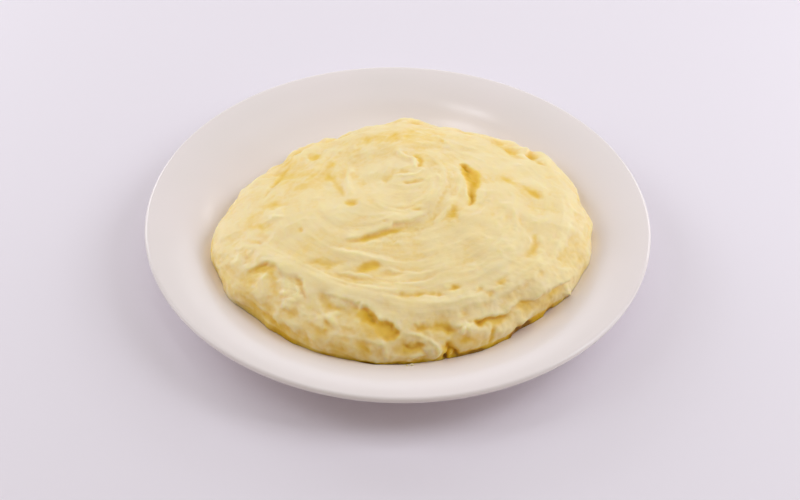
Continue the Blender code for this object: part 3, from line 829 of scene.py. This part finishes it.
# Painted shade: more gold, drawn darker, down the flank and toward the foot, most on the left front.
gold_and_painted_light = np.minimum(gold_and_painted_light, MOST_GOLD) + FLANK_SHADE_GOLD * flank
gold_and_painted_light += (FLANK_SHADE_GOLD + LEFT_FOOT_SHADE_GOLD * sector(232, 0.3, 0.6)) * ease((REACH - 0.84) / 0.12)
# Painted contact shade along the front foot, where the potato is also wet; the same mask spreads the wet
# edge out on the plate.
wet_and_shaded_front = sector(275, 0.5, 0.45) * np.clip(1 + 0.5 * blobs(2.5), 0.3, 1.3)
gold_and_painted_light += WET_CONTACT_SHADE_GOLD * wet_and_shaded_front * ease((REACH - 0.973) / 0.018)
at_foot = ease((1 - REACH) / 0.05)
lean_x, lean_y = soften(lean_x * at_foot, 0.3), soften(lean_y * at_foot, 0.3)
tell_relief()

# %% [markdown]
# ## From the sheet to the mesh
#
# The piece starts as a square grid. A square can be bent into a disc without a pole in the middle
# or seams between sectors, so the faces stay nearly square, which suits a fine relief. The disc is
# draped over the mound, and each point moves out by the map's height. The free edge is drawn in
# under the potato, ring by ring, and closed, so that it is one solid that lies on the plate.

# %% Drape the potato
GRID = 296
UNDERSIDE = (0.965, 0.85, 0.6, 0.3)  # how wide each ring underneath is
CROWDING, CROWDED = 0.15, 262.0  # how much finer the faces are at the front, and the bearing
SETTLE_FROM, SETTLE_OVER = 0.985, 0.015  # where the skin comes down to the plate
POTATO_EDGE = math.radians(80)


def square_to_disc(a, b):
    """Shirley and Chiu's map of the square from -1 to 1 onto the unit disc."""
    wide = np.abs(a) > np.abs(b)
    out = np.where(wide, a, b)
    other = np.where(wide, b, a) / np.where(out == 0, 1, out)
    turn = np.where(wide, np.pi / 4 * other, np.pi / 2 - np.pi / 4 * other)
    return out * np.cos(turn), out * np.sin(turn)


def crowd_front(x, y):
    """Shifts a disc's points inside it, so that the faces are smaller at the torn front."""
    place = x + 1j * y
    toward = CROWDING * np.exp(1j * math.radians(CROWDED))
    place = (place + toward) / (1 + np.conj(toward) * place)
    return place.real, place.imag


def just_over_plate(x, y):
    return plate_top(np.hypot(x, y)) + FOOT_GAP


def drape(x, y):
    """Points of the finished skin, in metres."""
    to_x, to_y = x + look_up(lean_x, x, y), y + look_up(lean_y, x, y)
    keep_in = np.minimum(1, SKIN / np.maximum(np.hypot(to_x, to_y), 1e-6))
    to_x, to_y = to_x * keep_in, to_y * keep_in
    point = on_mound(to_x, to_y) + mound_normal(to_x, to_y) * look_up(height, x, y)[:, None]
    settle = ease((np.hypot(x, y) / SKIN - SETTLE_FROM) / SETTLE_OVER)
    bearing, spread = np.arctan2(y, x), FOOT_SPREAD * settle * look_up(wet_and_shaded_front, x, y)
    point[:, 0] += spread * np.cos(bearing)
    point[:, 1] += spread * np.sin(bearing)
    on_plate = just_over_plate(point[:, 0], point[:, 1])
    point[:, 2] = np.maximum(point[:, 2] * (1 - settle) + on_plate * settle, on_plate)
    return point * MM


def vertices_of(piece):
    points = np.empty(len(piece.data.vertices) * 3)
    piece.data.vertices.foreach_get("co", points)
    return points.reshape(-1, 3)


def make_potato():
    deselect_all()
    bpy.ops.mesh.primitive_grid_add(x_subdivisions=GRID, y_subdivisions=GRID, size=2)
    piece = bpy.context.object
    flat = vertices_of(piece)
    x, y = (SKIN * v for v in crowd_front(*square_to_disc(*flat[:, :2].T)))
    piece.data.vertices.foreach_set("co", drape(x, y).ravel())
    edit_all()
    bpy.ops.mesh.region_to_loop()
    before = 1.0
    for share in UNDERSIDE:
        bpy.ops.mesh.extrude_region_move()
        narrower = share / before
        bpy.ops.transform.resize(value=(narrower, narrower, 1), center_override=(MOUND_X * MM, 0, 0))
        before = share
    bpy.ops.mesh.extrude_region_move()
    bpy.ops.mesh.merge(type="CENTER")
    bpy.ops.object.mode_set(mode="OBJECT")
    points = vertices_of(piece)
    under = points[len(flat):]
    under[:, 2] = just_over_plate(under[:, 0] / MM, under[:, 1] / MM) * MM
    piece.data.vertices.foreach_set("co", points.ravel())
    finish_piece(piece, "mashed_potato_mound")
    bpy.ops.object.shade_smooth_by_angle(angle=POTATO_EDGE)
    return piece, x, y


potato, skin_x, skin_y = make_potato()
print("potato faces:", len(potato.data.polygons))

# %% [markdown]
# ## What the surface is like from place to place
#
# The finish needs to know more than the shape. Potato in a hollow is lit through the potato around
# it and looks a deeper yellow, while the crests are pale; here both are painted into the colour,
# as painted shade that is darker and more golden in the hollows and a painted highlight on the
# crests. So each point keeps three facts: how golden and shaded it is, how torn it is, and a place
# on a sheet whose lines run round with the spoon, for the finest drag marks.

# %% Note the painted shade and gold, the torn places and the way round
# NEAR and WIDE paint shade: the deeper a point lies below its surroundings, near or wide, the more gold it
# gets, drawn darker.
NEAR, WIDE = (0.26, 1.3), (0.36, 3.5)  # the gold of a millimetre's depth, and how near it is felt
# PALEST_HIGHLIGHT is the palest that a crest above its surroundings is drawn: a painted highlight.
PALEST_HIGHLIGHT = -0.3
ROUND_LINES, ACROSS_LINES = 12, 2  # how long and how close the drag marks are


def note(piece, name, values, kind="FLOAT", field="value"):
    """An attribute of the top skin. The underside keeps zeros."""
    attribute = piece.data.attributes.new(name, kind, "POINT")
    width = 3 if kind == "FLOAT_VECTOR" else 1
    full = np.zeros((len(piece.data.vertices), width), np.float32)
    full[:len(skin_x)] = np.asarray(values).reshape(-1, width)
    attribute.data.foreach_set(field, full.ravel())


# Painted shade and highlight: hollows below their surroundings get more gold, crests above them less, down
# to the palest.
below_near, below_wide = (shade_gold * (soften(height, spread) - height) for shade_gold, spread in (NEAR, WIDE))
painted_shade_and_gold = np.maximum(below_near + below_wide + gold_and_painted_light, PALEST_HIGHLIGHT)
note(potato, "painted_shade_and_gold", look_up(painted_shade_and_gold, skin_x, skin_y))
note(potato, "torn", look_up(torn_grain, skin_x, skin_y))
round_y = skin_y - 0.6 * SWIRL_Y
round_r = np.hypot(skin_x, round_y) + 1e-6
way_round = [ROUND_LINES * skin_x / round_r, ROUND_LINES * round_y / round_r, ACROSS_LINES * round_r]
note(potato, "way_round", np.stack(way_round, -1), "FLOAT_VECTOR", "vector")
print("hollow, mm:", np.percentile(painted_shade_and_gold[REACH < 1], [1, 50, 99]).round(2))

# %% [markdown]
# ## Porcelain
#
# Glazed porcelain is a white clay under a thin coat of clear glass, and next to a bluish table it
# looks warm. The glaze pools and thins a little, which shows only in the way that it bends a
# reflection, so it gets a faint, slow bump and a roughness that changes slightly, and no pattern of
# colour that anyone would notice.

# %% Glaze the plate
BUMP_DEPTH = 0.25 * MM


def linear(red, green, blue):
    """A colour as a paint chart gives it, 0 to 255, in the linear values that shaders use."""
    return tuple(v / 12.92 if v <= 0.04045 else ((v + 0.055) / 1.055) ** 2.4
                 for v in (red / 255, green / 255, blue / 255)) + (1.0,)


class Nodes:
    """The node tree of a new material or world, with short ways to add to it."""

    def __init__(self, kind, name):
        self.owner = kind.new(name)
        self.owner.use_nodes = True
        self.tree = self.owner.node_tree

    def wire(self, node, sockets):
        """Sets each socket, or feeds it from another node's output."""
        for name, value in sockets.items():
            if isinstance(value, bpy.types.NodeSocket):
                self.tree.links.new(value, node.inputs[name])
            else:
                node.inputs[name].default_value = value
        return node

    def shade(self, sockets):
        self.wire(self.tree.nodes["Principled BSDF"], sockets)
        return self.owner

    def add(self, kind, sockets, **settings):
        node = self.tree.nodes.new("ShaderNode" + kind)
        for name, value in settings.items():
            setattr(node, name, value)
        return self.wire(node, sockets)

    def place(self):
        return self.add("TexCoord", {}).outputs["Object"]

    def attribute(self, name, output="Fac"):
        return self.add("Attribute", {}, attribute_name=name).outputs[output]

    def fit(self, source, low, high, to_low, to_high):
        return self.add("MapRange", {"Value": source, "From Min": low, "From Max": high,
                                     "To Min": to_low, "To Max": to_high}).outputs["Result"]

    def noise(self, place, scale, detail=2.0, span=None):
        """Noise from 0 to 1, or with its usual values, 0.3 to 0.7, fitted to a span."""
        made = self.add("TexNoise", {"Vector": place, "Scale": scale, "Detail": detail}).outputs["Fac"]
        return self.fit(made, 0.3, 0.7, *span) if span else made

    def math(self, operation, *terms):
        return self.add("Math", dict(enumerate(terms)), operation=operation).outputs[0]

    def ramp(self, share, *stops):
        """A colour for each share: (share, colour), with the first and the last at the ends."""
        node = self.add("ValToRGB", {"Fac": share})
        for element, stop in zip(node.color_ramp.elements, (stops[0], stops[-1])):
            element.position, element.color = stop
        for position, colour in stops[1:-1]:
            node.color_ramp.elements.new(position).color = colour
        return node.outputs["Color"]

    def bump(self, strength, height):
        return self.add("Bump", {"Strength": strength, "Distance": BUMP_DEPTH,
                                 "Height": height}).outputs["Normal"]


def make_porcelain():
    nodes = Nodes(bpy.data.materials, "glazed_porcelain")
    place = nodes.place()
    return nodes.shade({
        "Base Color": nodes.ramp(nodes.noise(place, 30.0), (0.3, linear(239, 231, 228)),
                                 (0.7, linear(241, 232, 230))),
        "Roughness": nodes.noise(place, 55.0, span=(0.15, 0.22)),
        "Normal": nodes.bump(0.25, nodes.noise(place, 60.0, detail=1.0)),
        "IOR": 1.5})


plate.data.materials.append(make_porcelain())
print("plate finish:", plate.data.materials[0].name)

# %% [markdown]
# ## Buttered mash
#
# Mashed potato with milk and butter is a wet paste of pale grains. Light goes a few millimetres
# into it, and the blue part of it is lost first, so the thin crests are cream, the hollows are
# golden, and no shadow on it is grey. Besides the subsurface light, the colour itself follows the
# depth of the hollows: painted shade, darker and more golden, in the hollows, a painted highlight
# on the crests, and painted contact shade at the foot, with soft mottles where butter and potato
# aren't fully mixed. The sheen is that of a damp surface: broad over smooth strokes, and broken
# into glints where it is torn.

# %% Colour the potato
SUBSURFACE_DEPTH = 0.0038
# The ramp's tones: the pale crest is a painted highlight, the hollow and deep tones are painted shade, and
# the darkest is painted contact shade at the foot, partly wet potato; the face is the potato's own colour.
CREST_HIGHLIGHT, FACE, HOLLOW_SHADE, DEEP_SHADE, JUICE_AND_CONTACT_SHADE = (linear(*tone) for tone in (
    (248, 230, 184), (247, 224, 168), (240, 204, 92), (230, 182, 30), (166, 116, 22)))


def make_mash():
    nodes = Nodes(bpy.data.materials, "buttered_mash")
    place, torn = nodes.place(), nodes.attribute("torn")
    mottle = nodes.math("ADD", nodes.noise(place, 55.0, 1.0, span=(-0.10, 0.10)),
                        nodes.noise(place, 130.0, 3.0, span=(-0.11, 0.11)))
    mixed = nodes.math("ADD", mottle, nodes.noise(place, 520.0, span=(-0.06, 0.06)))
    shown = nodes.math("ADD", nodes.attribute("painted_shade_and_gold"), mixed)
    sheen = nodes.math("ADD", nodes.noise(place, 240.0, span=(0.34, 0.50)),
                       nodes.math("MULTIPLY", torn, -0.2))
    grains = nodes.math("MULTIPLY", nodes.noise(place, 1500.0), nodes.fit(torn, 0.0, 1.0, 0.35, 1.2))
    lines = nodes.noise(nodes.attribute("way_round", "Vector"), 0.9)
    return nodes.shade({
        # The base colour paints shade and highlight: it follows the attribute of painted shade and gold,
        # with the mottles, through the ramp.
        "Base Color": nodes.ramp(nodes.fit(shown, -0.55, 3.0, 0.0, 1.0), (0.0, CREST_HIGHLIGHT), (0.17, FACE),
                                 (0.345, HOLLOW_SHADE), (0.69, DEEP_SHADE), (1.0, JUICE_AND_CONTACT_SHADE)),
        "Roughness": sheen,
        "Normal": nodes.bump(0.30, nodes.math("MULTIPLY_ADD", lines, 0.7, grains)),
        "IOR": 1.38,
        "Subsurface Weight": 1.0,
        "Subsurface Radius": (1.0, 0.90, 0.38),
        "Subsurface Scale": SUBSURFACE_DEPTH})


mash = make_mash()
potato.data.materials.append(mash)
print("potato finish:", mash.name)

# %% [markdown]
# ## Crumbs
#
# A plate of mash is never quite clean. Two bits, about a millimetre across, lie on the plate at the
# front foot. They could be dabs on the mound, but they lie free, so they are a piece of their own:
# two balls pressed flat, roughened with a seeded shake, and joined.

# %% Drop the crumbs
CRUMBS = ((6.4, -77.4, 0.60), (4.6, -77.9, 0.40))  # x, y and half size, in mm
CRUMB_FORM = (1.25, 0.95, 0.7)


def drop_crumbs():
    deselect_all()
    for seed, (x, y, half) in enumerate(CRUMBS):
        up = float(plate_top(math.hypot(x, y))) + CRUMB_FORM[2] * half
        bpy.ops.mesh.primitive_ico_sphere_add(subdivisions=4, radius=half * MM)
        edit_all()
        bpy.ops.transform.resize(value=CRUMB_FORM)
        bpy.ops.transform.vertex_random(offset=0.12 * half * MM, seed=seed)
        bpy.ops.mesh.vertices_smooth(factor=0.5, repeat=2)
        bpy.ops.transform.translate(value=(x * MM, y * MM, up * MM))
        bpy.ops.object.mode_set(mode="OBJECT")
    for crumb in bpy.context.scene.objects:
        crumb.select_set(crumb.name.startswith("Icosphere"))
    bpy.ops.object.join()
    piece = finish_piece(bpy.context.object, "potato_crumbs")
    bpy.ops.object.shade_smooth()
    piece.data.materials.append(mash)
    return piece


crumbs = drop_crumbs()
print("crumb faces:", len(crumbs.data.polygons))

# %% [markdown]
# ## Tying the pieces to the frame
#
# All the pieces belong to the one body that the CAD model has. The plate and the potato each stand
# for the plain solid of the same thing, which is then hidden. The crumbs stand for nothing, because
# the CAD model has none.

# %% Tie the pieces to the frame
for piece, node_name, slot_name in ((plate, "plate", "porcelain"), (potato, "mashed_potato", "potato")):
    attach(piece, "root")
    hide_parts(node_name)
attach(crumbs, "root")
print("pieces on the frame:", plate.name, potato.name, crumbs.name)

# %% [markdown]
# ## Table and lights
#
# The set is a pale, faintly lilac table top in a bright white room. One big lamp would leave a hard
# shadow, so soft square lamps stand round the plate on three sides. The low ones behind and at the
# sides graze the potato and bring out its strokes, the high ones fill it, and the front is left
# nearly dark, which puts the shadow under the near side of the rim. A faint warm light from all
# round does the rest.

# %% Set the table
TABLE_SIZE = 1.6
TABLE = linear(237, 231, 239)
ROOM_LIGHT = (0.265, 0.225, 0.175, 1.0)
BACKDROP = linear(226, 220, 228)
LAMP_COLOUR = (0.96, 1.0, 1.09)
LAMP_AWAY = 0.9
LAMP_SIZE, SPOT_SIZE = 0.45, 0.1
LAMPS = {"right_low": (0, 20, 1.15), "back_right": (45, 20, 1.5), "back": (90, 20, 0.7),
         "back_left": (135, 20, 1.93), "left_low": (180, 20, 0.97), "right_high": (0, 45, 2.3),
         "left_high": (180, 45, 1.45), "over_right": (45, 70, 0.4), "over_front": (270, 75, 0.55),
         "over_left": (139, 74.5, 0.2, SPOT_SIZE)}       # bearing, rise, watts


def lay_table():
    deselect_all()
    bpy.ops.mesh.primitive_plane_add(size=TABLE_SIZE)
    table = bpy.context.object
    table.name = "table_top"
    nodes = Nodes(bpy.data.materials, "pale_table")
    table.data.materials.append(nodes.shade({"Base Color": TABLE, "Roughness": 0.6}))


def hang_lamp(name, bearing, rise, watts, size=LAMP_SIZE):
    """A square soft lamp that looks at the plate. The bearing is in degrees from +X."""
    place = Matrix.Rotation(math.radians(bearing), 3, "Z") @ Vector(
        (LAMP_AWAY * math.cos(math.radians(rise)), 0, LAMP_AWAY * math.sin(math.radians(rise))))
    lamp = bpy.data.lights.new(name, "AREA")
    lamp.energy, lamp.size, lamp.color = watts, size, LAMP_COLOUR
    holder = bpy.data.objects.new(name, lamp)
    holder.location = place
    holder.rotation_euler = (-place).to_track_quat("-Z", "Y").to_euler()
    bpy.context.scene.collection.objects.link(holder)


def fill_room():
    """A faint warm light from all round, behind a pale backdrop."""
    nodes = Nodes(bpy.data.worlds, "pale_room")
    light = nodes.wire(nodes.tree.nodes["Background"], {"Color": ROOM_LIGHT})
    backdrop = nodes.add("Background", {"Color": BACKDROP})
    seen = nodes.add("LightPath", {}).outputs["Is Camera Ray"]
    mixed = nodes.add("MixShader", {0: seen, 1: light.outputs[0], 2: backdrop.outputs[0]})
    nodes.wire(nodes.tree.nodes["World Output"], {"Surface": mixed.outputs[0]})
    bpy.context.scene.world = nodes.owner


lay_table()
for lamp_name, facts in LAMPS.items():
    hang_lamp(lamp_name, *facts)
fill_room()
bpy.context.scene.view_settings.view_transform = "Standard"
print("lamps:", ", ".join(LAMPS))

# %% [markdown]
# ## Camera
#
# The camera looks down from the front, from a little over half a metre, as someone at the table
# would. Its lens could be any, since the distance can make up for it; a view of 30 degrees across
# keeps the near and the far side of the plate in a natural proportion.

# %% Place the camera
VIEW_ANGLE = math.radians(30.0)  # across the picture
SENSOR = 36.0
CAMERA_RISE = math.radians(42.2)
CAMERA_AWAY = 0.5785
CAMERA_LEAN = math.radians(1.365)
AIM = Vector((0.001, -0.0211, 0.018))


def place_camera():
    toward = Vector((0, -math.cos(CAMERA_RISE), math.sin(CAMERA_RISE)))
    right, up = Vector((1, 0, 0)), Vector((1, 0, 0)).cross(-toward)
    lean_c, lean_s = math.cos(CAMERA_LEAN), math.sin(CAMERA_LEAN)
    turned = Matrix((right * lean_c + up * lean_s, up * lean_c - right * lean_s, toward)).transposed()
    camera = bpy.data.objects.new("camera", bpy.data.cameras.new("camera"))
    camera.data.sensor_width = SENSOR
    camera.data.lens = SENSOR / 2 / math.tan(VIEW_ANGLE / 2)
    camera.data.clip_start = 0.01
    camera.matrix_world = Matrix.Translation(AIM + CAMERA_AWAY * toward) @ turned.to_4x4()
    bpy.context.scene.collection.objects.link(camera)
    bpy.context.scene.camera = camera
    return camera


camera = place_camera()
print("camera, m:", [round(v, 3) for v in camera.matrix_world.translation])
